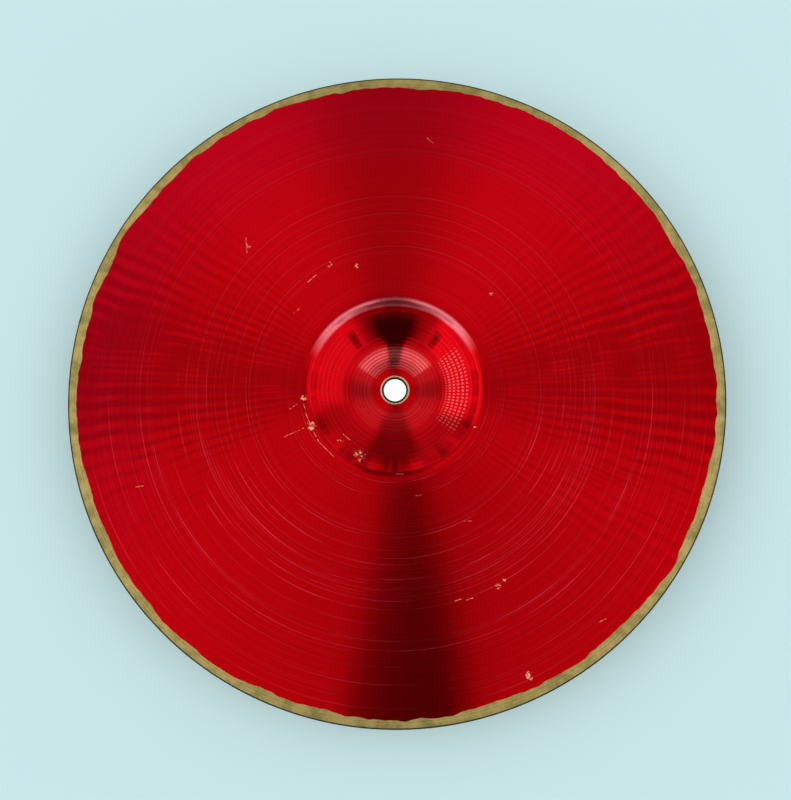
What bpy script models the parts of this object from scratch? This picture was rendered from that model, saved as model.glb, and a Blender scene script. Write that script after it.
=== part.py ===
"""A crash cymbal: one disc of sheet bronze, pressed and turned, lacquered red on both faces.

Units are metres and +Z is up. The disc lies bell down, hollow side up, with the flat
land round its hole on Z = 0 and the axis of the hole on the Z axis.
"""

import math

import bpy

# Driving dimensions
DIAMETER = 0.3556
HOLE_DIAMETER = 0.0128
BELL_DIAMETER = 0.102
BELL_DEPTH = 0.0135
BOW_DEPTH = 0.0115
BELL_THICKNESS = 0.0012
EDGE_THICKNESS = 0.0008

# The flat land that the felts clamp, round the hole on both faces
LAND_RADIUS = 0.0115
HOLE_FLARE = 0.0008

# The hollow fillet where the bell meets the bow, measured on the outside
FOOT_RADIUS = 0.0060

# Rounding of the edge
EDGE_ROUND = 0.0002

# The lacquer: its film, the clearance under it, and where it starts round the hole
FILM_THICKNESS = 0.00010
FILM_CLEARANCE = 0.00005
INSIDE_FILM_START = 0.0089

# The band of bare bronze at the edge, where the lacquer has worn away in scallops
BARE_BAND = 0.0048
BARE_BAND_LIMIT = 0.0085
SCALLOPS = ((5, 0.0007, 0.4), (9, 0.0008, 2.1), (14, 0.0007, 4.6), (23, 0.0006, 1.2))

# Facets round the axis and along each arc of the profile
FACETS = 64
DOME_STEPS = 6
FOOT_STEPS = 3
BOW_STEPS = 6

# Sizes that follow from the driving dimensions
RADIUS = DIAMETER / 2
HOLE_RADIUS = HOLE_DIAMETER / 2
FOOT_OUTER_RADIUS = BELL_DIAMETER / 2
BOW_ARC_RADIUS = (RADIUS**2 - FOOT_OUTER_RADIUS**2) / (2 * BOW_DEPTH)

# Materials, by name: base colour, metallic and roughness
BRONZE = ("bare_bronze", (0.44, 0.33, 0.12, 1.0), 1.0, 0.38)
LACQUER = ("red_lacquer", (0.52, 0.004, 0.012, 1.0), 0.85, 0.24)


def clear_scene():
    """Removes every object, so that the script can run again in the same file."""
    for thing in list(bpy.data.objects):
        bpy.data.objects.remove(thing, do_unlink=True)


def make_material(name, colour, metallic, roughness):
    """One Principled material."""
    material = bpy.data.materials.new(name)
    material.use_nodes = True
    shader = material.node_tree.nodes["Principled BSDF"]
    shader.inputs["Base Color"].default_value = colour
    shader.inputs["Metallic"].default_value = metallic
    shader.inputs["Roughness"].default_value = roughness
    return material


def bow_station(radius):
    """A station on the outside of the bow: radius, height and slope of a shallow crown."""
    rise = (radius**2 - FOOT_OUTER_RADIUS**2) / (2 * BOW_ARC_RADIUS)
    return radius, BELL_DEPTH + rise, math.atan(radius / BOW_ARC_RADIUS)


def bell_stations():
    """The outside of the bell from the land to the bow: a dome that runs into a fillet."""
    _, foot_height, foot_slope = bow_station(FOOT_OUTER_RADIUS)
    fillet_x = FOOT_OUTER_RADIUS + FOOT_RADIUS * math.sin(foot_slope)
    fillet_z = foot_height - FOOT_RADIUS * math.cos(foot_slope)
    across = fillet_x - LAND_RADIUS
    dome = (across**2 + fillet_z**2 - FOOT_RADIUS**2) / (2 * (FOOT_RADIUS + fillet_z))
    steepest = math.atan2(across, dome - fillet_z)
    stations = []
    for step in range(DOME_STEPS + 1):
        slope = steepest * step / DOME_STEPS
        stations.append((LAND_RADIUS + dome * math.sin(slope), dome * (1 - math.cos(slope)), slope))
    for step in range(1, FOOT_STEPS + 1):
        slope = steepest + (foot_slope - steepest) * step / FOOT_STEPS
        stations.append((fillet_x - FOOT_RADIUS * math.sin(slope), fillet_z + FOOT_RADIUS * math.cos(slope), slope))
    return stations


def disc_stations():
    """Every station on the outside of the disc, from the land's rim to the edge."""
    last = RADIUS - BARE_BAND_LIMIT
    bow = []
    for step in range(1, BOW_STEPS + 1):
        bow.append(bow_station(FOOT_OUTER_RADIUS + (last - FOOT_OUTER_RADIUS) * step / BOW_STEPS))
    return bell_stations() + bow + [bow_station(RADIUS - EDGE_ROUND)]


def thickness(radius):
    """Wall thickness: full in the bell, and tapering along the bow to the edge."""
    share = (radius - FOOT_OUTER_RADIUS) / (RADIUS - FOOT_OUTER_RADIUS)
    return BELL_THICKNESS + (EDGE_THICKNESS - BELL_THICKNESS) * max(0.0, share)


def above(station, depth):
    """The point that lies depth inside the outer face, square to it."""
    radius, height, slope = station
    return radius - depth * math.sin(slope), height + depth * math.cos(slope)


def inside_face(lift):
    """The inside face from the land's rim to the edge, raised by lift."""
    return [above(station, thickness(station[0]) + lift) for station in disc_stations()]


def outside_face(drop):
    """The outside face from the land's rim to the edge, lowered by drop."""
    return [above(station, -drop) for station in disc_stations()]


def disc_outline():
    """The bronze disc's section: inside face outwards, the edge, and the outside face back."""
    inner, outer = inside_face(0.0), outside_face(0.0)
    inside_hole = [(HOLE_RADIUS, BELL_THICKNESS - HOLE_FLARE / 2), (HOLE_RADIUS + HOLE_FLARE, BELL_THICKNESS)]
    edge = [(RADIUS, inner[-1][1] - EDGE_ROUND), (RADIUS, outer[-1][1] + EDGE_ROUND)]
    outside_hole = [(HOLE_RADIUS + HOLE_FLARE / 4, 0.0), (HOLE_RADIUS, HOLE_FLARE / 4)]
    return inside_hole + inner + edge + outer[::-1] + outside_hole


def inside_film_outline():
    """The lacquer on the inside face, from close to the hole."""
    base = BELL_THICKNESS + FILM_CLEARANCE
    upper = [(INSIDE_FILM_START, base + FILM_THICKNESS)] + inside_face(FILM_CLEARANCE + FILM_THICKNESS)
    lower = [(INSIDE_FILM_START, base)] + inside_face(FILM_CLEARANCE)
    return upper + lower[::-1]


def outside_film_outline():
    """The lacquer on the outside face, which stops short of the land that the part lies on."""
    upper = outside_face(FILM_CLEARANCE)[1:]
    lower = outside_face(FILM_CLEARANCE + FILM_THICKNESS)[1:]
    return upper + lower[::-1]


def turn_profile(name, outline, collection):
    """Turns a closed outline round Z with a Screw modifier and makes it a plain mesh."""
    mesh = bpy.data.meshes.new(name + "_outline")
    count = len(outline)
    corners = [(radius, 0.0, height) for radius, height in outline]
    mesh.from_pydata(corners, [(here, (here + 1) % count) for here in range(count)], [])
    turned = bpy.data.objects.new(name, mesh)
    collection.objects.link(turned)
    screw = turned.modifiers.new("turn", "SCREW")
    screw.axis = "Z"
    screw.angle = math.tau
    screw.steps = FACETS
    screw.render_steps = FACETS
    screw.use_merge_vertices = True
    screw.merge_threshold = 0.00001
    bpy.context.view_layer.update()
    solid = bpy.data.meshes.new_from_object(turned.evaluated_get(bpy.context.evaluated_depsgraph_get()))
    turned.modifiers.clear()
    turned.data = solid
    solid.name = name
    return turned


def bare_band(turn):
    """Width of the bare band at a turn round the axis: a mean with scallops on it."""
    return BARE_BAND + sum(depth * math.sin(count * turn + phase) for count, depth, phase in SCALLOPS)


def wear_edge(film, phase):
    """Draws the film's outer corners back along the bow to the scalloped line."""
    stations = disc_stations()
    (near_radius, near_height), (far_radius, far_height) = stations[-2][:2], stations[-1][:2]
    fall = (far_height - near_height) / (far_radius - near_radius)
    for corner in film.data.vertices:
        reach = corner.co.to_2d().length
        if reach < RADIUS - BARE_BAND_LIMIT / 2:
            continue
        turn = math.atan2(corner.co.y, corner.co.x)
        back = reach - (RADIUS - bare_band(turn + phase))
        corner.co.x -= back * math.cos(turn)
        corner.co.y -= back * math.sin(turn)
        corner.co.z -= back * fall


def finish(thing, material):
    """Gives a solid its material and smooth shading with crisp corners."""
    thing.data.materials.clear()
    thing.data.materials.append(material)
    thing.data.shade_smooth()
    thing.data.set_sharp_from_angle(angle=math.radians(25))


def main():
    """Builds the disc and the lacquer on its two faces."""
    clear_scene()
    collection = bpy.data.collections.new("crash_cymbal")
    bpy.context.scene.collection.children.link(collection)
    lacquer = make_material(*LACQUER)
    finish(turn_profile("bronze_disc", disc_outline(), collection), make_material(*BRONZE))
    for name, outline, phase in (
        ("lacquer_inside", inside_film_outline(), 0.0),
        ("lacquer_outside", outside_film_outline(), math.pi),
    ):
        film = turn_profile(name, outline, collection)
        wear_edge(film, phase)
        finish(film, lacquer)


main()
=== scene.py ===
"""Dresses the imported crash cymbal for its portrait: lacquer, turned bronze, floor, light and camera.

The cymbal lies bell down with its hollow side up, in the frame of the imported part.
Lengths are in metres. Directions round the axis are named in degrees, with the camera's side at -90.
"""

from __future__ import annotations

import logging
import math
from dataclasses import dataclass
from enum import Enum
from typing import Any, Callable, Sequence

import bpy
from mathutils import Matrix, Vector

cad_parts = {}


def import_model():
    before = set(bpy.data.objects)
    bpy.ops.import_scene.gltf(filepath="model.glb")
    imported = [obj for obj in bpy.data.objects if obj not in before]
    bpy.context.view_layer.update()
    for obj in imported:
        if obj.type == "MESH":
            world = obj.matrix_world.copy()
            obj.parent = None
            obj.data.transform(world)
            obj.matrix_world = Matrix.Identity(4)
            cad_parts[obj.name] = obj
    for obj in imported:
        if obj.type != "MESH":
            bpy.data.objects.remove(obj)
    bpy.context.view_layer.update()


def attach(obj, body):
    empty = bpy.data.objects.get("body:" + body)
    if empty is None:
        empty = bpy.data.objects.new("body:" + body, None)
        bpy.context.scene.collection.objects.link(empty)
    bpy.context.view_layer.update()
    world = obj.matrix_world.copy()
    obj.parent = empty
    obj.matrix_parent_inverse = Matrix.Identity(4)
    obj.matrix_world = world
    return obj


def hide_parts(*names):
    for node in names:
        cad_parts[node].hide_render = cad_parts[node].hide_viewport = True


LOG = logging.getLogger("crash_cymbal")
IMAGE_WIDTH = 791
IMAGE_HEIGHT = 800
MM = 0.001

# A span is where a smooth rise or fall starts and ends. A band is its middle, half width and soft border.
# A station is the radius, height and slope of one place on the disc's outer face.
Rgba = tuple[float, float, float, float]
Span = tuple[float, float]
Band = tuple[float, float, float]
Steps = tuple[int, int, int]
Station = tuple[float, float, float]
Place = tuple[float, float]
Pixel = tuple[float, float]
Locate = Callable[[Pixel], Place]

BLACK: Rgba = (0.0, 0.0, 0.0, 1.0)
WHITE: Rgba = (1.0, 1.0, 1.0, 1.0)


class Face(Enum):
    """The two faces of the disc: the hollow one and the one that the bell stands out of."""

    INSIDE = "inside"
    OUTSIDE = "outside"


# Which wear the edge of the lacquer on each face has
WEAR_SEEDS: dict[Face, float] = {Face.INSIDE: 2.4, Face.OUTSIDE: 7.9}


def srgb(red: int, green: int, blue: int) -> Rgba:
    """A display colour as scene-linear RGBA.

    Args:
        red: Red, 0 to 255.
        green: Green, 0 to 255.
        blue: Blue, 0 to 255.

    Returns:
        The colour, opaque.
    """

    def linear(level: int) -> float:
        """One channel with the display curve undone."""
        share = level / 255
        return share / 12.92 if share <= 0.04045 else ((share + 0.055) / 1.055) ** 2.4

    return linear(red), linear(green), linear(blue), 1.0


class Sock:
    """An output socket that takes part in Python expressions."""

    def __init__(self, sheet: NodeSheet, socket: bpy.types.NodeSocket) -> None:
        """Keeps the socket and the sheet that new nodes go on."""
        self.sheet = sheet
        self.socket = socket

    def _math(self, operation: str, first: Any, second: Any = None) -> Sock:
        """One Math node.

        Args:
            operation: The Math node's operation.
            first: First operand, a Sock or a number.
            second: Second operand, if the operation has one.

        Returns:
            The node's output.
        """
        operands = {0: first}
        if second is not None:
            operands[1] = second
        return self.sheet.add("ShaderNodeMath", {"operation": operation}, operands)["Value"]

    def __add__(self, other: Any) -> Sock:
        """self + other."""
        return self._math("ADD", self, other)

    def __radd__(self, other: Any) -> Sock:
        """other + self."""
        return self._math("ADD", other, self)

    def __sub__(self, other: Any) -> Sock:
        """self - other."""
        return self._math("SUBTRACT", self, other)

    def __rsub__(self, other: Any) -> Sock:
        """other - self."""
        return self._math("SUBTRACT", other, self)

    def __mul__(self, other: Any) -> Sock:
        """self * other."""
        return self._math("MULTIPLY", self, other)

    def __rmul__(self, other: Any) -> Sock:
        """other * self."""
        return self._math("MULTIPLY", other, self)

    def __truediv__(self, other: Any) -> Sock:
        """self / other."""
        return self._math("DIVIDE", self, other)

    def __rtruediv__(self, other: Any) -> Sock:
        """other / self."""
        return self._math("DIVIDE", other, self)

    def __neg__(self) -> Sock:
        """-self."""
        return self._math("MULTIPLY", self, -1.0)

    def __abs__(self) -> Sock:
        """abs(self)."""
        return self._math("ABSOLUTE", self)

    def sin(self) -> Sock:
        """Sine, in radians."""
        return self._math("SINE", self)

    def cos(self) -> Sock:
        """Cosine, in radians."""
        return self._math("COSINE", self)

    def floor(self) -> Sock:
        """Largest whole number not above self."""
        return self._math("FLOOR", self)

    def root(self) -> Sock:
        """Square root."""
        return self._math("SQRT", self)

    def hypot(self, other: Sock) -> Sock:
        """Length of the vector from self and other."""
        return (self * self + other * other).root()

    def at_least(self, limit: Any) -> Sock:
        """The larger of self and limit."""
        return self._math("MAXIMUM", self, limit)

    def at_most(self, limit: Any) -> Sock:
        """The smaller of self and limit."""
        return self._math("MINIMUM", self, limit)

    def angle_to(self, across: Any) -> Sock:
        """atan2(self, across)."""
        return self._math("ARCTAN2", self, across)

    def ramp(self, low: Any, high: Any) -> Sock:
        """Smooth rise from 0 at low to 1 at high."""
        sockets = {"Value": self, "From Min": low, "From Max": high, "To Min": 0.0, "To Max": 1.0}
        return self.sheet.add("ShaderNodeMapRange", {"interpolation_type": "SMOOTHSTEP"}, sockets)["Result"]

    def fall(self, low: Any, high: Any) -> Sock:
        """Smooth fall from 1 at low to 0 at high."""
        return 1 - self.ramp(low, high)

    def band(self, middle: float, half_width: float, softness: float) -> Sock:
        """1 within half_width of middle, falling smoothly to 0 over softness."""
        return abs(self - middle).fall(half_width, half_width + softness)

    def sector(self, middle: float, half_width: float, softness: float) -> Sock:
        """The band of a direction in radians, with the band's own values in degrees."""
        return self.band(math.radians(middle), math.radians(half_width), math.radians(softness))


class Placed:
    """A node that has been placed, with its outputs by name."""

    def __init__(self, sheet: NodeSheet, node: bpy.types.Node) -> None:
        """Keeps the node and its sheet."""
        self.sheet = sheet
        self.node = node

    def __getitem__(self, name: str | int) -> Sock:
        """The named or numbered output."""
        return Sock(self.sheet, self.node.outputs[name])


class NodeSheet:
    """One node tree, with a single method that places its nodes."""

    # Numbers of a Mix node's colour sockets, because its other types share their names
    MIX_SHARE: int = 0
    MIX_FIRST: int = 6
    MIX_SECOND: int = 7
    MIX_RESULT: int = 2

    def __init__(self, tree: bpy.types.NodeTree) -> None:
        """Keeps the tree."""
        self.tree = tree

    def add(
        self, kind: str, settings: dict[str, Any] | None = None, sockets: dict[Any, Any] | None = None
    ) -> Placed:
        """Places one node.

        Args:
            kind: The node's type.
            settings: Properties of the node, set before its sockets.
            sockets: Input sockets by name or number, each with a value or a Sock.

        Returns:
            The placed node.
        """
        node = self.tree.nodes.new(kind)
        for name, value in (settings or {}).items():
            setattr(node, name, value)
        self.fill(node, sockets or {})
        return Placed(self, node)

    def fill(self, node: bpy.types.Node, sockets: dict[Any, Any]) -> None:
        """Links or sets input sockets of a node.

        Args:
            node: The node.
            sockets: Its inputs by name or number, each with a value or a Sock.
        """
        for name, value in sockets.items():
            if isinstance(value, Sock):
                self.tree.links.new(value.socket, node.inputs[name])
            else:
                node.inputs[name].default_value = value

    def vector(self, across: Any, along: Any, up: Any) -> Sock:
        """A vector from its X, Y and Z."""
        return self.add("ShaderNodeCombineXYZ", None, {"X": across, "Y": along, "Z": up})["Vector"]

    def parts(self, vector: Sock) -> tuple[Sock, Sock, Sock]:
        """X, Y and Z of a vector."""
        split = self.add("ShaderNodeSeparateXYZ", None, {"Vector": vector})
        return split["X"], split["Y"], split["Z"]

    def coordinates(self, kind: str) -> Sock:
        """Texture coordinates of one kind."""
        return self.add("ShaderNodeTexCoord")[kind]

    def mix(self, share: Any, first: Any, second: Any) -> Sock:
        """Blends two colours, from the first at a share of 0 to the second at 1."""
        sockets = {self.MIX_SHARE: share, self.MIX_FIRST: first, self.MIX_SECOND: second}
        return self.add("ShaderNodeMix", {"data_type": "RGBA"}, sockets)[self.MIX_RESULT]

    def noise(self, vector: Sock, scale: float, detail: float = 2.0, roughness: float = 0.5) -> Sock:
        """Noise around 0.5 at a place.

        Args:
            vector: Where to read the noise.
            scale: Cells per unit.
            detail: Octaves.
            roughness: How much the finer octaves count.

        Returns:
            The noise.
        """
        sockets = {"Vector": vector, "Scale": scale, "Detail": detail, "Roughness": roughness}
        return self.add("ShaderNodeTexNoise", {"noise_dimensions": "3D"}, sockets)[0]

    def noise_along(self, place: Sock, scale: float, detail: float) -> Sock:
        """Noise around 0.5 along one number.

        Args:
            place: Where to read the noise.
            scale: Cells per unit.
            detail: Octaves.

        Returns:
            The noise.
        """
        sockets = {"W": place, "Scale": scale, "Detail": detail}
        return self.add("ShaderNodeTexNoise", {"noise_dimensions": "1D"}, sockets)[0]


def new_finish(name: str) -> tuple[bpy.types.Material, NodeSheet, bpy.types.Node]:
    """Starts a material.

    Args:
        name: Its name.

    Returns:
        The material, its sheet and its Principled shader.
    """
    material = bpy.data.materials.new(name)
    material.use_nodes = True
    return material, NodeSheet(material.node_tree), material.node_tree.nodes["Principled BSDF"]


@dataclass(frozen=True)
class DiscSection:
    """The section that the whole cymbal is turned from."""

    diameter: float = 355.6 * MM
    hole_diameter: float = 12.8 * MM
    bell_diameter: float = 102.0 * MM
    bell_depth: float = 13.5 * MM
    bow_depth: float = 11.5 * MM
    bell_thickness: float = 1.2 * MM
    edge_thickness: float = 0.8 * MM
    land_radius: float = 11.5 * MM
    foot_radius: float = 6.0 * MM
    hole_flare: float = 0.8 * MM
    edge_round: float = 0.2 * MM
    sighting_steps: Steps = (12, 6, 12)

    @property
    def radius(self) -> float:
        """Radius of the edge."""
        return self.diameter / 2

    @property
    def foot_outer_radius(self) -> float:
        """Radius where the bell's fillet meets the bow."""
        return self.bell_diameter / 2

    @property
    def bow_crown(self) -> float:
        """Radius of the bow's crown."""
        return (self.radius**2 - self.foot_outer_radius**2) / (2 * self.bow_depth)

    def bow_station(self, radius: float) -> Station:
        """The station of the bow at a radius."""
        rise = (radius**2 - self.foot_outer_radius**2) / (2 * self.bow_crown)
        return radius, self.bell_depth + rise, math.atan(radius / self.bow_crown)

    def stations(self, dome_steps: int, foot_steps: int, bow_steps: int) -> list[Station]:
        """Stations on the outside of the disc from the land to the edge.

        Args:
            dome_steps: Steps along the bell's dome.
            foot_steps: Steps round the fillet at its foot.
            bow_steps: Steps along the bow.

        Returns:
            The stations, in order.
        """
        _, foot_height, foot_slope = self.bow_station(self.foot_outer_radius)
        fillet_x = self.foot_outer_radius + self.foot_radius * math.sin(foot_slope)
        fillet_z = foot_height - self.foot_radius * math.cos(foot_slope)
        across = fillet_x - self.land_radius
        dome = (across**2 + fillet_z**2 - self.foot_radius**2) / (2 * (self.foot_radius + fillet_z))
        steepest = math.atan2(across, dome - fillet_z)
        found = []
        for step in range(dome_steps + 1):
            slope = steepest * step / dome_steps
            found.append((self.land_radius + dome * math.sin(slope), dome * (1 - math.cos(slope)), slope))
        for step in range(1, foot_steps + 1):
            slope = steepest + (foot_slope - steepest) * step / foot_steps
            radius = fillet_x - self.foot_radius * math.sin(slope)
            found.append((radius, fillet_z + self.foot_radius * math.cos(slope), slope))
        bow_length = self.radius - self.edge_round - self.foot_outer_radius
        for step in range(1, bow_steps + 1):
            found.append(self.bow_station(self.foot_outer_radius + bow_length * step / bow_steps))
        return found

    def thickness(self, radius: float) -> float:
        """Wall thickness at a radius: full in the bell and tapering to the edge."""
        share = (radius - self.foot_outer_radius) / (self.radius - self.foot_outer_radius)
        return self.bell_thickness + (self.edge_thickness - self.bell_thickness) * max(0.0, share)

    def inside_height(self, radius: float) -> float:
        """Height of the hollow face.

        Args:
            radius: Distance from the axis.

        Returns:
            The height there.
        """
        points = self.face_points(Face.INSIDE, 0.0, self.sighting_steps)
        for (near, low), (far, high) in zip(points, points[1:]):
            if radius <= far:
                return low + (high - low) * max(0.0, radius - near) / (far - near)
        return points[-1][1]

    @staticmethod
    def lifted(station: Station, depth: float) -> tuple[float, float]:
        """Radius and height of the point that lies depth inside a station, square to the face."""
        radius, height, slope = station
        return radius - depth * math.sin(slope), height + depth * math.cos(slope)

    def face_points(self, face: Face, lift: float, steps: Steps) -> list[tuple[float, float]]:
        """Points along one face from the land to the edge.

        Args:
            face: Which face.
            lift: Distance off that face, away from the metal.
            steps: Steps along dome, fillet and bow.

        Returns:
            Radius and height of each.
        """
        found = self.stations(*steps)
        if face is Face.OUTSIDE:
            return [self.lifted(station, -lift) for station in found]
        return [self.lifted(station, self.thickness(station[0]) + lift) for station in found]


@dataclass(frozen=True)
class OutlinePoint:
    """One corner of a section: its place, how far wear draws it back, and how far the flutes lift it."""

    radius: float
    height: float
    pull: float = 0.0
    flute: float = 0.0


@dataclass(frozen=True)
class TurnSettings:
    """What the turning tree is asked for."""

    segments: int
    band: float = 0.0
    scallop: float = 0.0
    scallop_seed: float = 0.0
    flutes: int = 124
    flute_depth: float = 0.0
    crown: float = 1.0


class TurningTree:
    """A Geometry Nodes tree that turns a section round Z, flutes it and wears its edge back."""

    INPUTS: tuple[tuple[str, str], ...] = (
        ("Segments", "NodeSocketInt"),
        ("Band", "NodeSocketFloat"),
        ("Scallop", "NodeSocketFloat"),
        ("Scallop Seed", "NodeSocketFloat"),
        ("Flutes", "NodeSocketInt"),
        ("Flute Depth", "NodeSocketFloat"),
        ("Crown", "NodeSocketFloat"),
        ("Finish", "NodeSocketMaterial"),
    )
    MERGE_DISTANCE: float = 0.001 * MM
    SHARP_ANGLE: float = math.radians(35)

    # Waves of wear round the edge, each with its noise scale and its share
    WEAR_WAVES: tuple[tuple[float, float], ...] = ((3.2, 1.5), (8.5, 1.6), (24.0, 1.0))
    WEAR_DETAIL: float = 1.5

    # The wander of the flutes: its noise round the axis and outwards, and its phase in radians
    DRIFT_ROUND: float = 3.0
    DRIFT_OUTWARD: float = 40.0
    DRIFT_PHASE: float = 7.0

    # The patches in which the flutes are deep: their noise, where it counts, and the depth there
    PATCH_ROUND: float = 7.0
    PATCH_OUTWARD: float = 80.0
    PATCH_START: float = 5.0
    PATCH_SPAN: Span = (0.38, 0.62)
    PATCH_SHALLOW: float = 0.2
    PATCH_GAIN: float = 1.3

    # Share of the flutes' depth that is left at the front and the back of the disc
    FLUTE_REST: float = 0.03

    def __init__(self) -> None:
        """Builds the tree."""
        self.group = bpy.data.node_groups.new("turned_section", "GeometryNodeTree")
        self.sheet = NodeSheet(self.group)
        self.group.interface.new_socket("Geometry", in_out="INPUT", socket_type="NodeSocketGeometry")
        self.identifiers: dict[str, str] = {}
        for name, kind in self.INPUTS:
            item = self.group.interface.new_socket(name, in_out="INPUT", socket_type=kind)
            self.identifiers[name] = item.identifier
        self.group.interface.new_socket("Geometry", in_out="OUTPUT", socket_type="NodeSocketGeometry")
        self._build()

    def _sampled(self, section: Sock, value: Sock, kind: str, index: Sock) -> Sock:
        """A value of the section at one of its corners.

        Args:
            section: The section's geometry.
            value: The field to read.
            kind: The field's data type.
            index: Number of the corner.

        Returns:
            The value there.
        """
        settings = {"data_type": kind, "domain": "POINT"}
        sockets = {"Geometry": section, "Value": value, "Index": index}
        return self.sheet.add("GeometryNodeSampleIndex", settings, sockets)[0]

    def _named(self, name: str) -> Sock:
        """A named number that the section carries."""
        return self.sheet.add("GeometryNodeInputNamedAttribute", {"data_type": "FLOAT"}, {"Name": name})[0]

    def _build(self) -> None:
        """Places the nodes: a grid of corners by turns, moved to the turned section and closed."""
        sheet = self.sheet
        given = sheet.add("NodeGroupInput")
        section = given["Geometry"]
        counted = sheet.add("GeometryNodeAttributeDomainSize", {"component": "MESH"}, {"Geometry": section})
        corners = counted["Point Count"]
        columns = given["Segments"] + 1
        sockets = {"Vertices X": corners + 1, "Vertices Y": columns}
        grid = sheet.add("GeometryNodeMeshGrid", None, sockets)["Mesh"]
        index = sheet.add("GeometryNodeInputIndex")["Index"]
        row = ((index + 0.5) / columns).floor()
        turn = (index - row * columns) / given["Segments"] * math.tau
        corner = row - corners * ((row + 0.5) / corners).floor()
        position = sheet.add("GeometryNodeInputPosition")["Position"]
        radius, _, height = sheet.parts(self._sampled(section, position, "FLOAT_VECTOR", corner))
        pull = self._sampled(section, self._named("pull"), "FLOAT", corner)
        flute = self._sampled(section, self._named("flute"), "FLOAT", corner)
        ring = sheet.vector(turn.cos(), turn.sin(), 0.0)
        back = pull * (given["Band"] + given["Scallop"] * self._wear(ring, given["Scallop Seed"]))
        height = height - back * (2 * radius - back) / (2 * given["Crown"])
        height = height + flute * self._fluted(given, turn, radius)
        worn = radius - back
        target = sheet.vector(worn * turn.cos(), worn * turn.sin(), height)
        sockets = {"Geometry": grid, "Position": target}
        turned = sheet.add("GeometryNodeSetPosition", None, sockets)["Geometry"]
        sockets = {"Geometry": turned, "Distance": self.MERGE_DISTANCE}
        closed = sheet.add("GeometryNodeMergeByDistance", None, sockets)["Geometry"]
        real = sheet.add("GeometryNodeRealizeInstances", None, {"Geometry": closed})["Geometry"]
        sockets = {"Geometry": real, "Material": given["Finish"]}
        dressed = sheet.add("GeometryNodeSetMaterial", None, sockets)["Geometry"]
        sheet.add("NodeGroupOutput", None, {"Geometry": dressed})

    def _fluted(self, given: Placed, turn: Sock, radius: Sock) -> Sock:
        """Height of the flutes, which are deepest at the left and the right of the disc.

        Args:
            given: The tree's inputs.
            turn: Direction round the axis.
            radius: Distance from the axis.

        Returns:
            The height.
        """
        sheet = self.sheet
        cosine, sine = turn.cos(), turn.sin()
        drift = sheet.vector(cosine * self.DRIFT_ROUND, sine * self.DRIFT_ROUND, radius * self.DRIFT_OUTWARD)
        outward = radius * self.PATCH_OUTWARD + self.PATCH_START
        patch = sheet.vector(cosine * self.PATCH_ROUND, sine * self.PATCH_ROUND, outward)
        phase = given["Flutes"] * turn + self.DRIFT_PHASE * sheet.noise(drift, 1.0)
        beside = cosine * cosine
        sides = self.FLUTE_REST + (1 - self.FLUTE_REST) * beside * beside
        patches = self.PATCH_SHALLOW + self.PATCH_GAIN * sheet.noise(patch, 1.0).ramp(*self.PATCH_SPAN)
        return given["Flute Depth"] * sides * patches * phase.sin()

    def _wear(self, ring: Sock, seed: Sock) -> Sock:
        """Scallops of wear round the edge, from about -1 to 1.

        Args:
            ring: Place on a circle of radius 1.
            seed: Which wear.

        Returns:
            The wear.
        """
        wear: Any = 0.0
        for scale, share in self.WEAR_WAVES:
            sockets = {"Vector": ring, "W": seed, "Scale": scale, "Detail": self.WEAR_DETAIL}
            found = self.sheet.add("ShaderNodeTexNoise", {"noise_dimensions": "4D"}, sockets)[0]
            wear = wear + (found - 0.5) * share
        return wear

    def turn(
        self,
        name: str,
        outline: Sequence[OutlinePoint],
        finish: bpy.types.Material,
        settings: TurnSettings,
    ) -> bpy.types.Object:
        """Turns a closed section into a plain mesh object.

        Args:
            name: The piece's name.
            outline: The section's corners, in order.
            finish: Material of the piece.
            settings: Counts and sizes for the tree.

        Returns:
            The finished piece, at the origin.
        """
        mesh = bpy.data.meshes.new(name + "_section")
        count = len(outline)
        corners = [(point.radius, 0.0, point.height) for point in outline]
        mesh.from_pydata(corners, [(here, (here + 1) % count) for here in range(count)], [])
        for label in ("pull", "flute"):
            shares = [getattr(point, label) for point in outline]
            mesh.attributes.new(label, "FLOAT", "POINT").data.foreach_set("value", shares)
        piece = bpy.data.objects.new(name, mesh)
        bpy.context.scene.collection.objects.link(piece)
        modifier = piece.modifiers.new("turn", "NODES")
        modifier.node_group = self.group
        values = {
            "Segments": settings.segments,
            "Band": settings.band,
            "Scallop": settings.scallop,
            "Scallop Seed": settings.scallop_seed,
            "Flutes": settings.flutes,
            "Flute Depth": settings.flute_depth,
            "Crown": settings.crown,
            "Finish": finish,
        }
        for label, value in values.items():
            modifier[self.identifiers[label]] = value
        bpy.context.view_layer.update()
        shaped = piece.evaluated_get(bpy.context.evaluated_depsgraph_get())
        solid = bpy.data.meshes.new_from_object(shaped)
        piece.modifiers.clear()
        piece.data = solid
        solid.name = name
        if signed_volume(solid) < 0:
            solid.flip_normals()
        solid.shade_smooth()
        solid.set_sharp_from_angle(angle=self.SHARP_ANGLE)
        return piece


def signed_volume(mesh: bpy.types.Mesh) -> float:
    """Volume inside a closed mesh, negative if its faces point inwards.

    Args:
        mesh: The mesh.

    Returns:
        The volume, in cubic metres.
    """
    mesh.calc_loop_triangles()
    total = 0.0
    for triangle in mesh.loop_triangles:
        first, second, third = (mesh.vertices[corner].co for corner in triangle.vertices)
        total += first.dot(second.cross(third)) / 6
    return total


@dataclass(frozen=True)
class Chip:
    """A cluster of chips in the lacquer: its pixel, how far it spreads and how bare it is."""

    pixel: Pixel
    spread: float
    bareness: float = 0.28


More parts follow.
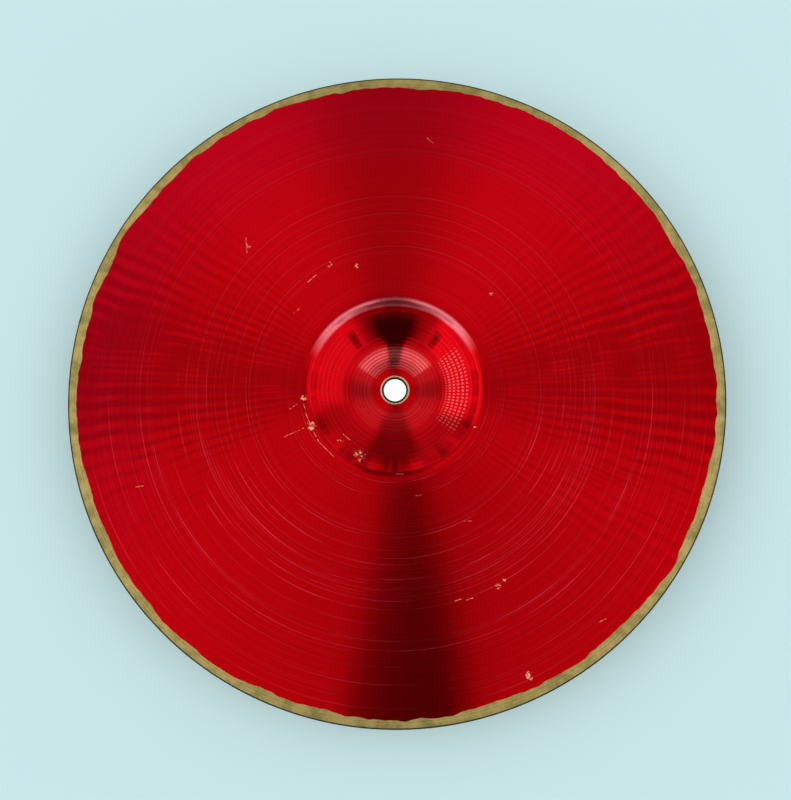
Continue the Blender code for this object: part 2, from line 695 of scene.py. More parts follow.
CHIPS: tuple[Chip, ...] = (
    Chip(pixel=(304, 398), spread=3.0 * MM, bareness=0.32),
    Chip(pixel=(311, 426), spread=4.5 * MM, bareness=0.32),
    Chip(pixel=(359, 456), spread=6.0 * MM),
    Chip(pixel=(340, 442), spread=4.0 * MM, bareness=0.22),
    Chip(pixel=(248, 247), spread=3.0 * MM),
    Chip(pixel=(331, 265), spread=3.0 * MM),
    Chip(pixel=(357, 266), spread=2.5 * MM),
    Chip(pixel=(529, 676), spread=4.0 * MM, bareness=0.31),
    Chip(pixel=(498, 586), spread=3.0 * MM),
    Chip(pixel=(504, 580), spread=2.0 * MM),
    Chip(pixel=(491, 294), spread=1.6 * MM, bareness=0.34),
    Chip(pixel=(475, 427), spread=1.4 * MM, bareness=0.34),
)


@dataclass(frozen=True)
class Scratch:
    """A straight scratch through the lacquer, from one pixel to another, and its half width."""

    start: Pixel
    end: Pixel
    half_width: float = 0.28 * MM


SCRATCHES: tuple[Scratch, ...] = (
    Scratch(start=(284, 437), end=(304, 428), half_width=0.2 * MM),
    Scratch(start=(303, 401), end=(306, 413), half_width=0.25 * MM),
    Scratch(start=(306, 414), end=(311, 426), half_width=0.25 * MM),
    Scratch(start=(311, 427), end=(319, 442), half_width=0.25 * MM),
    Scratch(start=(319, 442), end=(334, 457), half_width=0.18 * MM),
    Scratch(start=(290, 409), end=(297, 404)),
    Scratch(start=(343, 434), end=(350, 440)),
    Scratch(start=(246, 238), end=(247, 253)),
    Scratch(start=(308, 282), end=(316, 275)),
    Scratch(start=(294, 313), end=(299, 309)),
    Scratch(start=(599, 622), end=(606, 619)),
    Scratch(start=(455, 601), end=(461, 599)),
    Scratch(start=(467, 600), end=(473, 598)),
    Scratch(start=(464, 521), end=(471, 521)),
    Scratch(start=(136, 487), end=(143, 486)),
    Scratch(start=(427, 138), end=(433, 143)),
    Scratch(start=(396, 474), end=(403, 474)),
    Scratch(start=(415, 496), end=(421, 495)),
)


@dataclass(frozen=True)
class BareBronze:
    """Turned bronze that has gone a little dull."""

    name: str = "bare_bronze"
    pale: Rgba = srgb(190, 167, 102)
    dull: Rgba = srgb(136, 126, 68)
    edge: Rgba = srgb(24, 44, 26)
    land: Rgba = srgb(222, 170, 132)
    metallic: float = 0.85
    roughness: float = 0.42
    anisotropic: float = 0.7
    anisotropic_turn: float = 0.25

    # Fine lines of the lathe, and stains between them
    line_scale: float = 1500.0
    line_detail: float = 3.0
    line_share: float = 0.3
    line_strength: float = 0.25
    line_depth: float = 0.1 * MM
    stain_scale: float = 130.0
    stain_detail: float = 4.0
    stain_roughness: float = 0.65
    stain_share: float = 0.85
    pale_span: Span = (0.37, 0.72)

    # Radii where the land round the hole ends, and where the bronze goes dark: in the hole's bore, patina
    # with painted shade, and darker at the very edge
    land_span: Span = (9.0 * MM, 12.0 * MM)
    hole_span: Span = (7.3 * MM, 7.7 * MM)
    edge_span: Span = (176.8 * MM, 177.3 * MM)

    def build(self) -> bpy.types.Material:
        """The material, with the fine lines that the lathe leaves.

        Returns:
            The material.
        """
        material, sheet, shader = new_finish(self.name)
        place = sheet.coordinates("Object")
        across, along, _ = sheet.parts(place)
        radius = across.hypot(along)
        lines = sheet.noise_along(radius, self.line_scale, self.line_detail)
        stain = sheet.noise(place, self.stain_scale, self.stain_detail, self.stain_roughness)
        share = (lines * self.line_share + stain * self.stain_share).ramp(*self.pale_span)
        worn = sheet.mix(share, self.dull, self.pale)
        worn = sheet.mix(radius.ramp(*self.land_span), self.land, worn)
        # Painted shade with patina in the hole's bore, and darker at the very edge
        corner = radius.ramp(*self.edge_span) + radius.fall(*self.hole_span)
        relief = {"Strength": self.line_strength, "Distance": self.line_depth, "Height": lines}
        sockets = {
            "Base Color": sheet.mix(corner, worn, self.edge),
            "Normal": sheet.add("ShaderNodeBump", None, relief)["Normal"],
            "Metallic": self.metallic,
            "Roughness": self.roughness,
            "Anisotropic": self.anisotropic,
            "Anisotropic Rotation": self.anisotropic_turn,
        }
        sheet.fill(shader, sockets)
        return material


@dataclass(frozen=True)
class RedLacquer:
    """Clear red lacquer over lathed metal, with chips where the bronze shows."""

    name: str = "red_lacquer"
    red: Rgba = srgb(188, 0, 10)
    deep: Rgba = srgb(130, 0, 5)
    crimson: Rgba = srgb(170, 0, 36)
    pink: Rgba = srgb(240, 90, 110)
    sheen: Rgba = srgb(215, 60, 66)
    bare: Rgba = srgb(248, 194, 146)
    metallic: float = 1.0
    roughness: float = 0.1
    anisotropic: float = 1.0
    anisotropic_turn: float = 0.25
    coat_roughness: float = 0.1
    coat_ior: float = 2.0

    # Fine lines of the lathe: their noise, where they are dark and pale, and their depth
    line_scale: float = 900.0
    line_detail: float = 3.0
    dark_span: Span = (0.25, 0.42)
    dark_share: float = 0.3
    pale_span: Span = (0.6, 0.75)
    pale_share: float = 0.07
    line_depth: float = 0.011 * MM

    # Crimson towards the edge, strongest to the upper left
    crimson_span: Span = (110.0 * MM, 172.0 * MM)
    crimson_turn: float = 115.0
    crimson_side: Span = (-0.5, 0.6)
    crimson_share: float = 0.38

    # A painted highlight on the bell's foot, on the side away from the camera: paler pink in the colour,
    # glossier and less smooth
    highlight_band_sector: Band = (91.0, 46.0, 24.0)
    highlight_band_ring: Band = (48.6 * MM, 1.3 * MM, 1.5 * MM)
    highlight_band_pink: float = 0.45
    highlight_band_gloss: float = 0.85
    highlight_band_roughness: float = 0.12

    # Grooves of the bell, counted per root of a millimetre, and beads of gloss round its wall that make
    # painted glints
    bell_grooves: float = 4.97
    groove_span: Span = (44.0 * MM, 48.0 * MM)
    groove_depth: float = 0.01 * MM
    bell_beads: float = 120.0
    bead_span: Span = (-0.2, 0.6)
    bead_groove_span: Span = (0.35, 0.75)

    # Gloss: everywhere, on the bell's crown, and on its wall, with the share that stays beside each sector.
    # The sectors place painted highlights
    plain_gloss: float = 0.01
    crown_gloss: float = 0.75
    crown_start: Span = (12.0 * MM, 14.0 * MM)
    crown_end: Span = (23.0 * MM, 27.0 * MM)
    crown_highlight_sector: Band = (91.0, 54.0, 6.0)
    crown_rest: float = 0.12
    crown_breaks: float = 0.85
    wall_gloss: float = 0.8
    wall_ring: Band = (35.0 * MM, 5.0 * MM, 2.0 * MM)
    wall_glint_sector: Band = (-2.0, 33.0, 4.0)
    wall_rest: float = 0.05

    # Tone rings, by radius in millimetres and strength: shallow grooves, with a painted pink glint on each
    tone_rings: tuple[tuple[float, float], ...] = (
        (53.0, 0.6), (60.9, 0.4), (82.3, 0.9), (93.3, 0.8), (96.6, 0.6), (104.0, 1.0), (105.5, 0.3),
        (107.0, 0.4), (108.5, 0.3), (110.0, 0.5), (111.5, 0.3), (113.0, 0.4), (115.2, 0.8), (119.5, 0.8),
        (127.0, 0.3), (135.2, 0.9), (140.0, 1.0), (148.0, 0.3), (156.6, 0.6), (168.0, 0.4),
    )
    ring_half_width: float = 0.06 * MM
    ring_softness: float = 0.24 * MM
    ring_glint_pink: float = 0.42
    ring_depth: float = 0.004 * MM

    # Where the tone rings break off, and the share of them that stays on the far side. Their painted glints
    # are strongest on the camera's side
    break_slant: float = 90.0
    break_scale: float = 2.2
    break_detail: float = 3.0
    break_span: Span = (0.35, 0.7)
    far_side: Span = (-0.45, 0.5)
    far_rest: float = 0.1

    # Chips and scratches: the grain that breaks them up, and their depth
    chips: tuple[Chip, ...] = CHIPS
    scratches: tuple[Scratch, ...] = SCRATCHES
    grain_scale: float = 620.0
    grain_detail: float = 4.0
    grain_roughness: float = 0.7
    chip_core: float = 0.35
    chip_span: Span = (0.79, 0.88)
    chip_depth: float = 0.04 * MM
    scratch_span: Span = (0.4, 0.55)
    scratch_share: float = 0.7

    def build(self, locate: Locate) -> bpy.types.Material:
        """The material.

        Args:
            locate: Finds the place on the cymbal that a pixel shows.

        Returns:
            The material.
        """
        material, sheet, shader = new_finish(self.name)
        place = sheet.coordinates("Object")
        across, along, _ = sheet.parts(place)
        radius = across.hypot(along)
        turn = along.angle_to(across)
        lines = sheet.noise_along(radius, self.line_scale, self.line_detail)
        rings = self._tone_lines(sheet, radius, turn)
        grain = sheet.noise(place, self.grain_scale, self.grain_detail, self.grain_roughness)
        bare = self._bareness(grain, across, along, locate)
        # Painted highlight: the foot of the bell away from the camera is mixed towards pink and given more
        # gloss
        painted_highlight_band = turn.sector(*self.highlight_band_sector) * radius.band(*self.highlight_band_ring)
        tone = sheet.mix(lines.fall(*self.dark_span) * self.dark_share, self.red, self.deep)
        upper_left = (turn - math.radians(self.crimson_turn)).cos().ramp(*self.crimson_side)
        faded = radius.ramp(*self.crimson_span) * upper_left
        tone = sheet.mix(faded * self.crimson_share, tone, self.crimson)
        # Painted highlight: the tone rings are mixed towards pink as glints; the fine pale lines are the
        # lacquer's own
        paler = rings * self.ring_glint_pink + lines.ramp(*self.pale_span) * self.pale_share
        tone = sheet.mix(paler + painted_highlight_band * self.highlight_band_pink, tone, self.pink)
        grooves = self._ripple(radius) * radius.fall(*self.groove_span)
        height = (lines - 0.5) * self.line_depth + grooves * self.groove_depth
        height = height - rings * self.ring_depth - bare * self.chip_depth
        relief = {"Strength": 1.0, "Distance": 1.0, "Height": height}
        sockets = {
            "Base Color": sheet.mix(bare, tone, self.bare),
            "Normal": sheet.add("ShaderNodeBump", None, relief)["Normal"],
            "Metallic": self.metallic,
            "Roughness": self.roughness + self.highlight_band_roughness * painted_highlight_band,
            "Anisotropic": self.anisotropic,
            "Anisotropic Rotation": self.anisotropic_turn,
            "Coat Weight": self._gloss(radius, turn) + self.highlight_band_gloss * painted_highlight_band,
            "Coat Roughness": self.coat_roughness,
            "Coat IOR": self.coat_ior,
            "Specular Tint": self.sheen,
        }
        sheet.fill(shader, sockets)
        return material

    def _ripple(self, radius: Sock) -> Sock:
        """Grooves of the bell, which lie wider apart towards its foot, from -1 to 1."""
        return ((radius / MM).root() * (math.tau * self.bell_grooves)).sin()

    def _gloss(self, radius: Sock, turn: Sock) -> Sock:
        """Weight of the clear gloss, which the grooves of the bell break into arcs, kept to the sectors of
        painted highlights.

        Args:
            radius: Distance from the axis.
            turn: Direction round the axis.

        Returns:
            The weight.
        """
        ripple = self._ripple(radius) * 0.5 + 0.5
        # Painted highlights: the crown's gloss is strongest away from the camera, and the wall's beads stand
        # only to the right
        above = self.crown_rest + (1 - self.crown_rest) * turn.sector(*self.crown_highlight_sector)
        crown = radius.ramp(*self.crown_start) * radius.fall(*self.crown_end)
        crown = crown * (1 - self.crown_breaks * ripple) * above
        glint_beads = (turn * self.bell_beads).sin().ramp(*self.bead_span)
        glint_beads = glint_beads * (1 - ripple).ramp(*self.bead_groove_span)
        beside = self.wall_rest + (1 - self.wall_rest) * turn.sector(*self.wall_glint_sector)
        wall = radius.band(*self.wall_ring) * glint_beads * beside
        return self.plain_gloss + self.wall_gloss * wall + self.crown_gloss * crown

    def _tone_lines(self, sheet: NodeSheet, radius: Sock, turn: Sock) -> Sock:
        """The tone rings that the lathe leaves, broken here and there and fading away from the camera, with
        their painted glints.

        Args:
            sheet: Where the nodes go.
            radius: Distance from the axis.
            turn: Direction round the axis.

        Returns:
            1 on a ring and 0 off it.
        """
        rings: Any = 0.0
        for ring, strength in self.tone_rings:
            rings = rings + strength * radius.band(ring * MM, self.ring_half_width, self.ring_softness)
        slanted = turn + radius * self.break_slant
        whole = sheet.noise_along(slanted, self.break_scale, self.break_detail).ramp(*self.break_span)
        near_side = self.far_rest + (1 - self.far_rest) * (-turn.sin()).ramp(*self.far_side)
        return rings * whole * near_side

    def _bareness(self, grain: Sock, across: Sock, along: Sock, locate: Locate) -> Sock:
        """Where the lacquer is chipped or scratched away.

        Args:
            grain: Noise that breaks the chips up.
            across: X of the place.
            along: Y of the place.
            locate: Finds the place on the cymbal that a pixel shows.

        Returns:
            0 for lacquer and 1 for bare bronze.
        """
        bare: Any = 0.0
        for chip in self.chips:
            chip_x, chip_y = locate(chip.pixel)
            gap = (across - chip_x).hypot(along - chip_y)
            near = gap.fall(self.chip_core * chip.spread, chip.spread)
            bare = bare + (grain + near * chip.bareness).ramp(*self.chip_span)
        rough = grain.ramp(*self.scratch_span) * self.scratch_share
        for scratch in self.scratches:
            start, end = locate(scratch.start), locate(scratch.end)
            bare = bare + rough * self._scratched(across, along, start, end, scratch.half_width)
        return bare.at_most(1.0)

    @staticmethod
    def _scratched(across: Sock, along: Sock, start: Place, end: Place, half_width: float) -> Sock:
        """Where one scratch runs.

        Args:
            across: X of the place.
            along: Y of the place.
            start: Where the scratch starts.
            end: Where it ends.
            half_width: Half of its width.

        Returns:
            1 in the scratch and 0 outside it.
        """
        length = math.dist(start, end)
        step_x, step_y = (end[0] - start[0]) / length, (end[1] - start[1]) / length
        middle_x, middle_y = (start[0] + end[0]) / 2, (start[1] + end[1]) / 2
        lengthwise = (across - middle_x) * step_x + (along - middle_y) * step_y
        sideways = (along - middle_y) * step_x - (across - middle_x) * step_y
        return lengthwise.band(0.0, length / 2, half_width) * sideways.band(0.0, 0.0, half_width)


@dataclass(frozen=True)
class PaleFloor:
    """The plain pale floor, a little lifted to the eye, with painted light glowing from it under the hole.
    """

    name: str = "pale_floor"
    colour: Rgba = srgb(207, 239, 242)
    lift: Rgba = (0.05, 0.06, 0.06, 1.0)
    painted_glow: Rgba = (0.5, 0.53, 0.53, 1.0)
    painted_glow_span: Span = (10.0 * MM, 11.0 * MM)
    roughness: float = 0.9
    specular: float = 0.1

    def build(self) -> bpy.types.Material:
        """The material.

        Returns:
            The material.
        """
        material, sheet, shader = new_finish(self.name)
        across, along, _ = sheet.parts(sheet.coordinates("Object"))
        # Painted light: the floor glows where it shows through the hole
        painted_light_under_hole = across.hypot(along).fall(*self.painted_glow_span)
        light = sheet.add("ShaderNodeLightPath")
        seen = light["Is Camera Ray"] + light["Is Glossy Ray"] + light["Is Transmission Ray"]
        lift = sheet.mix(seen.at_most(1.0), BLACK, self.lift)
        sockets = {
            "Base Color": self.colour,
            "Roughness": self.roughness,
            "Specular IOR Level": self.specular,
            "Emission Color": sheet.mix(painted_light_under_hole, lift, self.painted_glow),
            "Emission Strength": 1.0,
        }
        sheet.fill(shader, sockets)
        return material


@dataclass
class BronzeDisc:
    """The one piece of bronze that is the cymbal."""

    section: DiscSection
    segments: int = 360
    steps: Steps = (12, 6, 14)

    def outline(self) -> list[OutlinePoint]:
        """The disc's section: inside face outwards, the edge, and the outside face back.

        Returns:
            Its corners.
        """
        cut = self.section
        inner = cut.face_points(Face.INSIDE, 0.0, self.steps)
        outer = cut.face_points(Face.OUTSIDE, 0.0, self.steps)
        hole, flare, wall = cut.hole_diameter / 2, cut.hole_flare, cut.bell_thickness
        places = [(hole, wall - flare / 2), (hole + flare, wall)] + inner
        places += [(cut.radius, inner[-1][1] - cut.edge_round), (cut.radius, outer[-1][1] + cut.edge_round)]
        places += outer[::-1] + [(hole + flare / 4, 0.0), (hole, flare / 4)]
        return [OutlinePoint(radius, height) for radius, height in places]

    def build(self, tree: TurningTree, finish: bpy.types.Material) -> bpy.types.Object:
        """Turns the disc.

        Args:
            tree: The turning tree.
            finish: Its material.

        Returns:
            The piece.
        """
        piece = tree.turn("bronze_disc_turned", self.outline(), finish, TurnSettings(self.segments))
        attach(piece, "root")
        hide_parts("bronze_disc")
        return piece


@dataclass
class LacquerCoat:
    """The film of lacquer on one face, worn back from the edge."""

    section: DiscSection
    face: Face
    seed: float
    segments: int = 930
    film: float = 0.10 * MM
    clearance: float = 0.05 * MM
    start: float = 8.3 * MM
    band: float = 4.8 * MM
    scallop: float = 2.6 * MM
    wear_reach: float = 14.0 * MM
    flute_depth: float = 0.018 * MM
    flute_rise: float = 12.0 * MM
    steps: Steps = (12, 6, 30)

    # Stations by the land that the outside film leaves bare
    bare_stations: int = 2

    def _point(self, radius: float, height: float) -> OutlinePoint:
        """One corner of the film, with its share of wear and of flutes.

        Args:
            radius: Distance from the axis.
            height: Height of the corner.

        Returns:
            The corner.
        """
        cut = self.section
        pull = max(0.0, 1 - (cut.radius - radius) / self.wear_reach)
        risen = min(1.0, max(0.0, (radius - cut.foot_outer_radius) / self.flute_rise))
        return OutlinePoint(radius, height, pull, risen * radius / cut.radius)

    def outline(self) -> list[OutlinePoint]:
        """The film's section, upper side outwards and lower side back.

        Returns:
            Its corners.
        """
        cut = self.section
        near = cut.face_points(self.face, self.clearance, self.steps)
        far = cut.face_points(self.face, self.clearance + self.film, self.steps)
        if self.face is Face.INSIDE:
            base = cut.bell_thickness + self.clearance
            upper = [(self.start, base + self.film)] + far
            lower = [(self.start, base)] + near
        else:
            upper, lower = near[self.bare_stations:], far[self.bare_stations:]
        return [self._point(radius, height) for radius, height in upper + lower[::-1]]

    def build(self, tree: TurningTree, finish: bpy.types.Material) -> bpy.types.Object:
        """Turns the film.

        Args:
            tree: The turning tree.
            finish: Its material.

        Returns:
            The piece.
        """
        settings = TurnSettings(
            segments=self.segments,
            band=self.band,
            scallop=self.scallop,
            scallop_seed=self.seed,
            flute_depth=self.flute_depth,
            crown=self.section.bow_crown,
        )
        name = f"lacquer_{self.face.value}"
        piece = tree.turn(name + "_film", self.outline(), finish, settings)
        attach(piece, "root")
        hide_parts(name)
        return piece


@dataclass(frozen=True)
class Panel:
    """A soft panel of light: the sector that it fills, the reaches that it ends at, and their blur."""

    sector: Band
    ends: Span
    near_blur: float = 0.2
    far_blur: float = 0.1

    def mask(self, turn: Sock, reach: Sock) -> Sock:
        """Where the panel is.

        Args:
            turn: Direction of a ray.
            reach: Reach of a ray.

        Returns:
            1 inside the panel and 0 outside it.
        """
        near, far = self.ends
        started = reach.ramp(near * (1 - self.near_blur), near * (1 + self.near_blur))
        ended = reach.fall(far * (1 - self.far_blur), far * (1 + self.far_blur))
        return turn.sector(*self.sector) * started * ended


@dataclass(frozen=True)
class Aim:
    """Where a ray goes, measured from the way that level lacquer mirrors to the camera.

    Reach is the tangent of the angle from that way, and turn is the direction round it, in radians.
    """

    across: Sock
    along: Sock
    reach: Sock
    turn: Sock


@dataclass(frozen=True)
class Surround:
    """The soft light all round: a plain tone to the camera, and light and dark for the lacquer to mirror.

    Spans, starts, ends and rings are reaches. Sectors, turns, halves and gaps are in degrees.
    """

    tone: Rgba = srgb(214, 238, 240)
    level: float = 0.74
    lowest_rise: float = 0.05
    outer_span: Span = (0.45, 0.75)

    # The dark wedge on the camera's side, with its values near its tip and further out
    wedge_tip: Place = (0.0118, 0.008)
    wedge_turn: Span = (-91.7, -90.0)
    wedge_dark_half: Span = (9.2, 13.0)
    wedge_soft_half: Span = (11.0, 34.0)
    wedge_dark: Span = (0.98, 0.93)
    wedge_thin_span: Span = (1.25, 1.7)
    wedge_thin_share: float = 0.55
    wedge_end: Span = (1.9, 2.6)

    # The shade on the side away from the camera, a soft one with a crisper one over it
    shade_soft: Band = (89.0, 3.0, 30.0)
    shade_soft_dark: float = 0.42
    shade_crisp: Band = (89.0, 14.0, 14.0)
    shade_crisp_dark: float = 0.6
    shade_crisp_start: Span = (0.1, 0.22)
    shade_end: Span = (2.2, 3.0)
    shade_end_share: float = 0.85

    # Two dark posts beside the wedge
    post_sectors: tuple[Band, Band] = ((-131.0, 2.0, 3.0), (-50.0, 2.0, 3.0))
    post_ring: Band = (0.95, 0.16, 0.16)
    post_dark: float = 0.75

    # Panels: beside the wedge, a bright strip across it, opposite it, and low ones at the left and right
    front: Panel = Panel((-89.0, 62.0, 3.0), (0.03, 0.6))
    front_gain: float = 0.19
    front_gap_turn: float = -80.0
    front_gap: Span = (20.0, 60.0)
    strip: Panel = Panel((-90.0, 54.0, 3.0), (0.2, 0.42))
    strip_gain: float = 0.8
    strip_wedge_share: float = 0.55
    rear: Panel = Panel((90.0, 57.0, 3.0), (0.03, 0.6))
    rear_gain: float = 0.6
    rear_fade: Span = (0.04, 0.11)
    rear_fade_share: float = 0.55
    left: Panel = Panel((-12.0, 34.0, 14.0), (0.6, 2.0))
    left_gain: float = 0.85
    right: Panel = Panel((-20.0, 30.0, 14.0), (0.6, 2.0))
    right_gain: float = 0.6

    # Dark at the left and right with light beside it, by the sine of the turn up to the end
    flank_light: Band = (0.4, 0.06, 0.14)
    flank_dark: Span = (0.02, 0.32)
    flank_gain: float = 0.2
    flank_end: Span = (0.5, 0.7)

    # Low lamps all round, and streaks between them
    lamps: int = 12
    lamp_level: float = 0.05
    lamp_span: Span = (1.3, 1.7)
    lamp_gain: float = 0.13
    low_lamp_span: Span = (2.2, 2.8)
    low_lamp_gain: float = 0.17
    streak_scale: float = 9.0
    streak_detail: float = 3.0
    streak_noise: Span = (0.35, 0.65)
    streak_span: Span = (1.5, 2.3)
    streak_gain: float = 0.6

    def build(self, mirror: Vector) -> None:
        """Makes the world.

        Args:
            mirror: Direction from the cymbal to the camera.
        """
        world = bpy.data.worlds.new("studio")
        bpy.context.scene.world = world
        world.use_nodes = True
        sheet = NodeSheet(world.node_tree)
        aim = self._aim(sheet, mirror)
        outer = aim.reach.ramp(*self.outer_span)
        wedge = self._wedge(aim, outer)
        level = self.level + self._panels(aim) + self._flanks(aim) + self._lamps(sheet, aim)
        level = level * (1 - self._between(self.wedge_dark, outer) * wedge) * (1 - self._shade(aim))
        level = level * (1 - self.post_dark * self._posts(aim))
        strip = self.strip_gain * self.strip.mask(aim.turn, aim.reach)
        level = level + strip * (1 - self.strip_wedge_share * wedge)
        seen = sheet.add("ShaderNodeLightPath")["Is Camera Ray"]
        sockets = {"Color": sheet.mix(seen, WHITE, self.tone), "Strength": level * (1 - seen) + seen}
        sheet.fill(world.node_tree.nodes["Background"], sockets)

    def _aim(self, sheet: NodeSheet, mirror: Vector) -> Aim:
        """Where the ray that is shaded goes.

        Args:
            sheet: Where the nodes go.
            mirror: Direction from the cymbal to the camera.

        Returns:
            The ray's aim.
        """
        across, along, rise = sheet.parts(sheet.coordinates("Generated"))
        rise = rise.at_least(self.lowest_rise)
        across = across / rise + mirror.x / mirror.z
        along = along / rise + mirror.y / mirror.z
        return Aim(across, along, across.hypot(along), along.angle_to(across))

    @staticmethod
    def _between(values: Span, share: Sock) -> Sock:
        """A number that goes from the first value to the second as share rises."""
        return values[0] + (values[1] - values[0]) * share

    def _angle_between(self, degrees: Span, share: Sock) -> Sock:
        """An angle that goes from the first to the second as share rises, in radians."""
        return self._between((math.radians(degrees[0]), math.radians(degrees[1])), share)

    def _wedge(self, aim: Aim, outer: Sock) -> Sock:
        """The dark wedge on the camera's side.

        Args:
            aim: Where the ray goes.
            outer: 0 near the wedge's tip and 1 further out.

        Returns:
            1 in the wedge and 0 outside it.
        """
        dark_half = self._angle_between(self.wedge_dark_half, outer)
        soft_half = self._angle_between(self.wedge_soft_half, outer)
        tip_x, tip_y = self.wedge_tip
        turn = (aim.along - tip_y).angle_to(aim.across - tip_x)
        gap = abs(turn - self._angle_between(self.wedge_turn, outer))
        thinner = 1 - self.wedge_thin_share * aim.reach.ramp(*self.wedge_thin_span)
        return gap.fall(dark_half, soft_half) * thinner * aim.reach.fall(*self.wedge_end)

    def _shade(self, aim: Aim) -> Sock:
        """The shade on the side away from the camera.

        Args:
            aim: Where the ray goes.

        Returns:
            0 where it is light and 1 where it is black.
        """
        crisp = aim.turn.sector(*self.shade_crisp) * aim.reach.ramp(*self.shade_crisp_start)
        soft = self.shade_soft_dark * aim.turn.sector(*self.shade_soft)
        dark = soft.at_least(self.shade_crisp_dark * crisp)
        return dark * (1 - self.shade_end_share * aim.reach.ramp(*self.shade_end))

    def _posts(self, aim: Aim) -> Sock:
        """Where the two posts are, 1 in them and 0 outside them."""
        first, second = (aim.turn.sector(*sector) for sector in self.post_sectors)
        return (first + second) * aim.reach.band(*self.post_ring)

    def _panels(self, aim: Aim) -> Sock:
        """The panels, apart from the strip.

        Args:
            aim: Where the ray goes.

        Returns:
            What they add to the light.
        """
        turn, reach = aim.turn, aim.reach
        low, high = self.front_gap
        gap = abs(turn - math.radians(self.front_gap_turn)).ramp(math.radians(low), math.radians(high))
        front = self.front_gain * gap * self.front.mask(turn, reach)
        near_rear = 1 - self.rear_fade_share * reach.ramp(*self.rear_fade)
        rear = self.rear_gain * near_rear * self.rear.mask(turn, reach)
        left = self.left_gain * self.left.mask(aim.along.angle_to(-aim.across), reach)
        return front + rear + left + self.right_gain * self.right.mask(turn, reach)

    def _flanks(self, aim: Aim) -> Sock:
        """The dark at the left and the right, and the light beside it.

        Args:
            aim: Where the ray goes.

        Returns:
            What they add to the light.
        """
        sine = abs(aim.turn.sin())
        contrast = sine.band(*self.flank_light) - sine.fall(*self.flank_dark)
        return self.flank_gain * contrast * aim.reach.fall(*self.flank_end)

    def _lamps(self, sheet: NodeSheet, aim: Aim) -> Sock:
        """The low lamps and the streaks, which the steep parts of the bell mirror.

        Args:
            sheet: Where the nodes go.
            aim: Where the ray goes.

        Returns:
            What they add to the light.
        """
        turn, reach = aim.turn, aim.reach
        raised = reach.ramp(*self.lamp_span)
        swing = self.lamp_gain * raised + self.low_lamp_gain * reach.ramp(*self.low_lamp_span)
        noise = sheet.noise(sheet.vector(turn.cos(), turn.sin(), 0.0), self.streak_scale, self.streak_detail)
        streaks = (noise.ramp(*self.streak_noise) - 0.5) * reach.ramp(*self.streak_span)
        return self.lamp_level * raised - (turn * self.lamps).cos() * swing + self.streak_gain * streaks


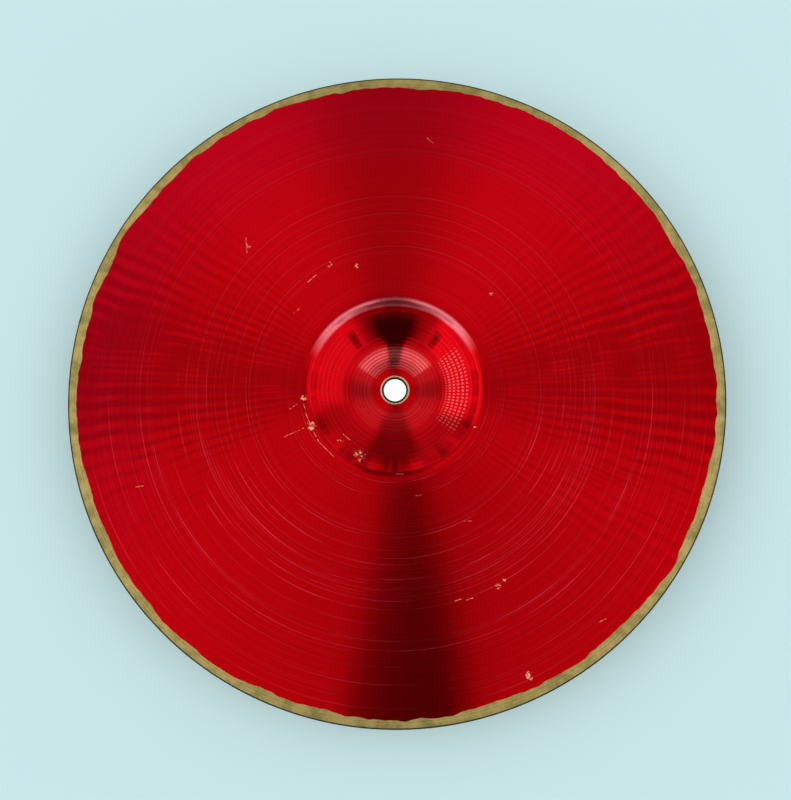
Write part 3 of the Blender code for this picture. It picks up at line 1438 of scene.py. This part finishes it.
@dataclass
class Studio:
    """The floor, the soft light and the camera.

    Tilt and swing are in degrees, and the sensor's width is in millimetres.
    """

    section: DiscSection
    floor_size: float = 40.0
    target: tuple[float, float, float] = (0.0, 0.0, 25.8 * MM)
    distance: float = 440.0 * MM
    tilt: float = 9.28
    swing: float = 9.11
    focal_pixels: float = 813.6
    axis_pixel: Pixel = (393.8, 383.2)
    sensor_width: float = 36.0
    clip_start: float = 10.0 * MM
    sighting_rounds: int = 6
    surround: Surround = Surround()

    def _toward_camera(self) -> Vector:
        """Direction from the cymbal to the camera."""
        tilt, swing = math.radians(self.tilt), math.radians(self.swing)
        return Vector((math.sin(tilt) * math.sin(swing), -math.sin(tilt) * math.cos(swing), math.cos(tilt)))

    def _camera_axes(self) -> tuple[Vector, Vector, Vector, Vector]:
        """How the camera stands.

        Returns:
            Its right, up and backward directions, and its place.
        """
        back = self._toward_camera()
        right = Vector((0, 1, 0)).cross(back).normalized()
        return right, back.cross(right), back, Vector(self.target) + back * self.distance

    def locate(self, pixel: Pixel) -> Place:
        """The place on the hollow face that a pixel of the photograph shows.

        Args:
            pixel: Column and row in the 791 by 800 frame.

        Returns:
            X and Y of the place.
        """
        right, up, back, eye = self._camera_axes()
        column, row = pixel[0] - self.axis_pixel[0], self.axis_pixel[1] - pixel[1]
        ray = right * column + up * row - back * self.focal_pixels
        spot = Vector(self.target)
        for _ in range(self.sighting_rounds):
            height = self.section.inside_height(math.hypot(spot.x, spot.y))
            spot = eye + ray * ((height - eye.z) / ray.z)
        return spot.x, spot.y

    def build_floor(self, finish: bpy.types.Material) -> bpy.types.Object:
        """The floor that the cymbal lies on.

        Args:
            finish: Its material.

        Returns:
            The floor.
        """
        half = self.floor_size / 2
        mesh = bpy.data.meshes.new("floor")
        corners = [(-half, -half, 0), (half, -half, 0), (half, half, 0), (-half, half, 0)]
        mesh.from_pydata(corners, [], [(0, 1, 2, 3)])
        mesh.materials.append(finish)
        floor = bpy.data.objects.new("floor", mesh)
        bpy.context.scene.collection.objects.link(floor)
        return floor

    def build_camera(self) -> bpy.types.Object:
        """The camera, where the photograph was taken from.

        Returns:
            The camera.
        """
        data = bpy.data.cameras.new("portrait")
        data.sensor_width = self.sensor_width
        data.lens = self.focal_pixels * self.sensor_width / IMAGE_HEIGHT
        data.shift_x = (IMAGE_WIDTH / 2 - self.axis_pixel[0]) / IMAGE_HEIGHT
        data.shift_y = (self.axis_pixel[1] - IMAGE_HEIGHT / 2) / IMAGE_HEIGHT
        data.clip_start = self.clip_start
        camera = bpy.data.objects.new("portrait", data)
        right, up, back, eye = self._camera_axes()
        camera.matrix_world = Matrix.Translation(eye) @ Matrix((right, up, back)).transposed().to_4x4()
        bpy.context.scene.collection.objects.link(camera)
        bpy.context.scene.camera = camera
        return camera

    def build_world(self) -> None:
        """The soft light all round, darker in a wedge on the camera's side."""
        self.surround.build(self._toward_camera())

    def set_view(self) -> None:
        """Plain colours, as they are written."""
        bpy.context.scene.view_settings.view_transform = "Standard"


def main() -> None:
    """Builds the cymbal and its studio, and reports each piece."""
    logging.basicConfig(level=logging.INFO, format="%(name)s: %(message)s")
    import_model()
    section = DiscSection()
    tree = TurningTree()
    studio = Studio(section)
    lacquer = RedLacquer().build(studio.locate)
    pieces = [BronzeDisc(section).build(tree, BareBronze().build())]
    for face, seed in WEAR_SEEDS.items():
        pieces.append(LacquerCoat(section, face, seed).build(tree, lacquer))
    for piece in pieces:
        LOG.info("%s: %d faces", piece.name, len(piece.data.polygons))
    studio.build_floor(PaleFloor().build())
    studio.build_camera()
    studio.build_world()
    studio.set_view()


if __name__ == "__main__":
    main()
